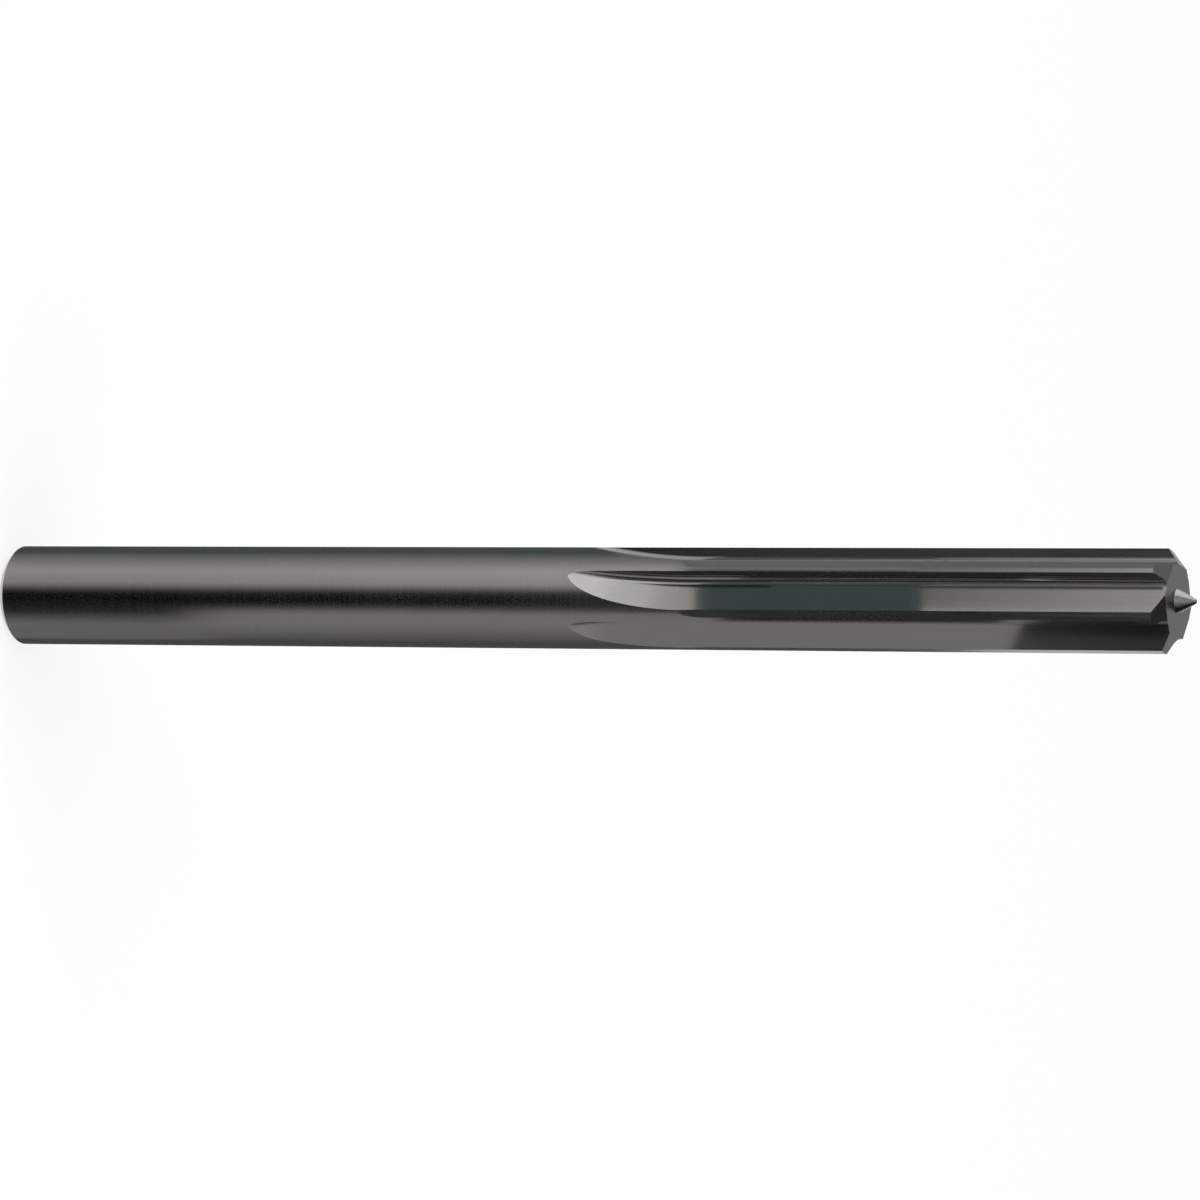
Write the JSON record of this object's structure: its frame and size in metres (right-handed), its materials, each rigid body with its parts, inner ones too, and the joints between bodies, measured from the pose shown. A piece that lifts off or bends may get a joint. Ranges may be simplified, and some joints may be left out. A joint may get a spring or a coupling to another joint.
{
  "type": "machine reamer",
  "caption": "Solid carbide machine reamer with a plain round shank, straight flutes, relieved teeth, a chamfered lead and a male centre, for finishing drilled holes to size.",
  "frame": {"origin": "centre of the shank's end face, which the tool stands on", "axes": "+Z along the tool from the shank to the tip; the first cutting edge lies on +X"},
  "size_m": [0.006, 0.006, 0.076],
  "materials": {
    "carbide": "ground"
  },
  "bodies": {
    "root": {"reamer": "carbide"}
  },
  "joints": []
}
